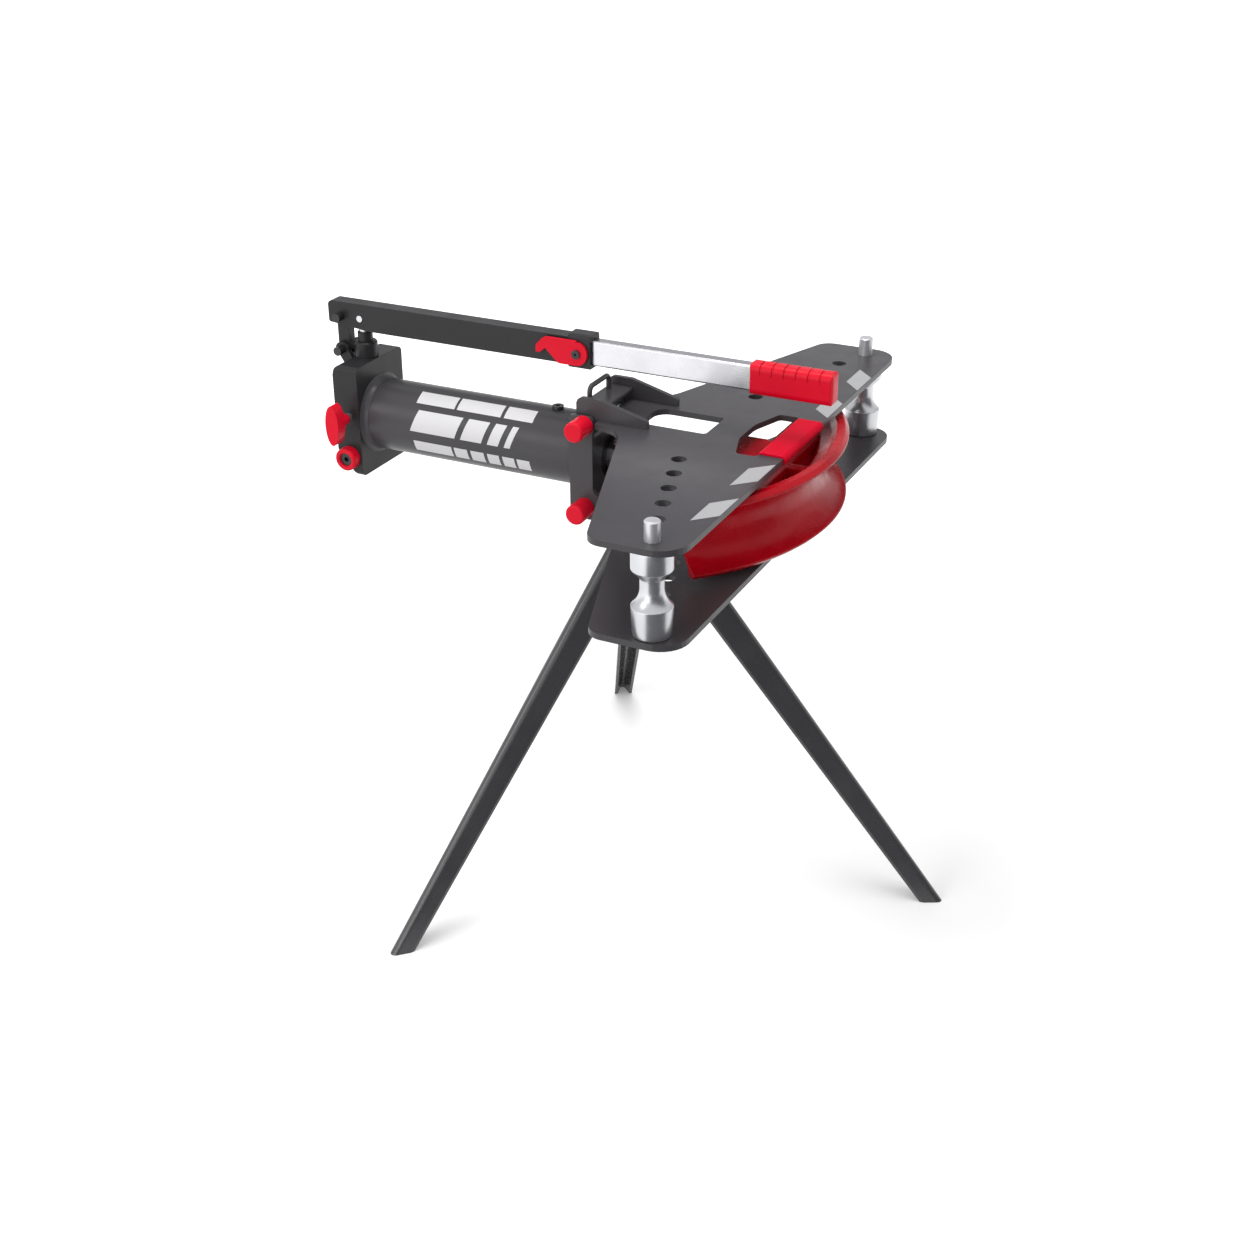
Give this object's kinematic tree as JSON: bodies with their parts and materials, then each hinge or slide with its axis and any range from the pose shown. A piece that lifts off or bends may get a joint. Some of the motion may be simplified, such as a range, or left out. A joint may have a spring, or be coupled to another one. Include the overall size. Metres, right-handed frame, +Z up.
{
  "type": "hydraulic pipe bender",
  "caption": "Hand-pumped hydraulic pipe bender on a folding tripod: ram cylinder, two wing plates with grooved rollers on pins, and a grooved bending former.",
  "frame": {"origin": "on the floor, below the middle of the whole part's box; the ram's upright plane lies 9 mm to the +Y side of it", "axes": "+X the way the ram pushes the former, +Y to the left of the ram, +Z up; the picture is taken from -Y and +X, from above"},
  "size_m": [0.7078, 0.6064, 0.5756],
  "materials": {
    "grey_paint": "semi-gloss",
    "dark_paint": "semi-gloss",
    "red_plastic": "satin",
    "red_cast": "gloss paint",
    "bright_steel": "zinc plated",
    "ram_steel": "hard chrome",
    "black_steel": "black oxide",
    "seal_rubber": "matt"
  },
  "bodies": {
    "frame": {"upper_plate": "grey_paint", "lower_plate": "grey_paint", "gussets": "grey_paint", "bridge_plate": "grey_paint", "loop_handle": "grey_paint", "plate_grip": "red_plastic", "head_bracket": "grey_paint", "rod_wiper": "seal_rubber", "cylinder_tube": "grey_paint", "root_ring": "grey_paint", "filler_plug": "black_steel", "pump_block": "dark_paint", "pump_barrel": "dark_paint", "pump_gland": "dark_paint", "valve_ring": "red_plastic", "valve_screw": "black_steel", "leg_hub": "dark_paint", "leg_bolts": "black_steel"},
    "ram_unit": {"ram": "ram_steel", "piston": "ram_steel", "piston_seal": "seal_rubber", "former": "red_cast"},
    "link": {"lever_link": "dark_paint", "link_pins": "black_steel"},
    "lever": {"pump_lever": "dark_paint", "lever_collar": "dark_paint", "latch_screws": "black_steel", "plunger_pin": "bright_steel"},
    "plunger": {"pump_plunger": "bright_steel"},
    "extension": {"extension_bar": "bright_steel", "handle_grip": "red_plastic"},
    "latch": {"latch_plates": "red_plastic"},
    "release": {"release_stem": "bright_steel", "release_knob": "red_plastic"},
    "roller_left": {"roller_left": "bright_steel"},
    "roller_right": {"roller_right": "bright_steel"},
    "roller_pin_left": {"roller_pin_left": "bright_steel"},
    "roller_pin_right": {"roller_pin_right": "bright_steel"},
    "lock_upper": {"lock_pin_upper": "bright_steel", "lock_knob_upper": "red_plastic"},
    "lock_lower": {"lock_pin_lower": "bright_steel", "lock_knob_lower": "red_plastic"},
    "leg_front": {"leg_front": "dark_paint"},
    "leg_left": {"leg_left": "dark_paint"},
    "leg_right": {"leg_right": "dark_paint"}
  },
  "joints": [
    {"name": "ram_slide", "type": "slide", "parent": "frame", "child": "ram_unit", "axis": [1, 0, 0], "range_m": [-0.113, 0.085]},
    {"name": "link_swing", "type": "hinge", "parent": "frame", "child": "link", "pos_m": [-0.33886, 0.00929, 0.52], "axis": [0, 1, 0], "range_deg": [0, 7.6]},
    {"name": "lever_pump", "type": "hinge", "parent": "link", "child": "lever", "pos_m": [-0.33886, 0.00929, 0.556], "axis": [0, -1, 0], "range_deg": [0, 49.6]},
    {"name": "plunger_slide", "type": "slide", "parent": "frame", "child": "plunger", "axis": [0, 0, 1], "range_m": [0, 0.01617]},
    {"name": "extension_slide", "type": "slide", "parent": "lever", "child": "extension", "axis": [1, 0, 0], "range_m": [-0.14, 0]},
    {"name": "latch_turn", "type": "hinge", "parent": "lever", "child": "latch", "pos_m": [-0.05486, 0.00929, 0.5564], "axis": [0, 1, 0], "range_deg": [0, 20]},
    {"name": "release_turn", "type": "hinge", "parent": "frame", "child": "release", "pos_m": [-0.31286, -0.03471, 0.459], "axis": [0, -1, 0], "range_deg": [0, 180]},
    {"name": "roller_left_spin", "type": "hinge", "parent": "frame", "child": "roller_left", "pos_m": [0.15114, 0.27929, 0.452], "axis": [0, 0, 1], "continuous": true},
    {"name": "roller_right_spin", "type": "hinge", "parent": "frame", "child": "roller_right", "pos_m": [0.15114, -0.26071, 0.452], "axis": [0, 0, 1], "continuous": true},
    {"name": "roller_pin_left_lift", "type": "slide", "parent": "frame", "child": "roller_pin_left", "axis": [0, 0, 1], "range_m": [0, 0.125]},
    {"name": "roller_pin_right_lift", "type": "slide", "parent": "frame", "child": "roller_pin_right", "axis": [0, 0, 1], "range_m": [0, 0.125]},
    {"name": "lock_upper_pull", "type": "slide", "parent": "frame", "child": "lock_upper", "axis": [0, -1, 0], "range_m": [0, 0.11]},
    {"name": "lock_lower_pull", "type": "slide", "parent": "frame", "child": "lock_lower", "axis": [0, -1, 0], "range_m": [0, 0.11]},
    {"name": "leg_front_fold", "type": "hinge", "parent": "frame", "child": "leg_front", "pos_m": [0.03809, 0.01076, 0.372], "axis": [-0.061, 0.9981, 0], "range_deg": [0, 39.2]},
    {"name": "leg_left_fold", "type": "hinge", "parent": "frame", "child": "leg_left", "pos_m": [0.00196, 0.02997, 0.372], "axis": [-0.8616, -0.5075, 0], "range_deg": [0, 39.2]},
    {"name": "leg_right_fold", "type": "hinge", "parent": "frame", "child": "leg_right", "pos_m": [0.00457, -0.01272, 0.372], "axis": [0.9171, -0.3987, 0], "range_deg": [0, 39.2]}
  ],
  "couplings": [
    {"joint": "link_swing", "follows": "lever_pump", "ratio": 0.1532},
    {"joint": "plunger_slide", "follows": "lever_pump", "m_per_rad": 0.018677}
  ]
}
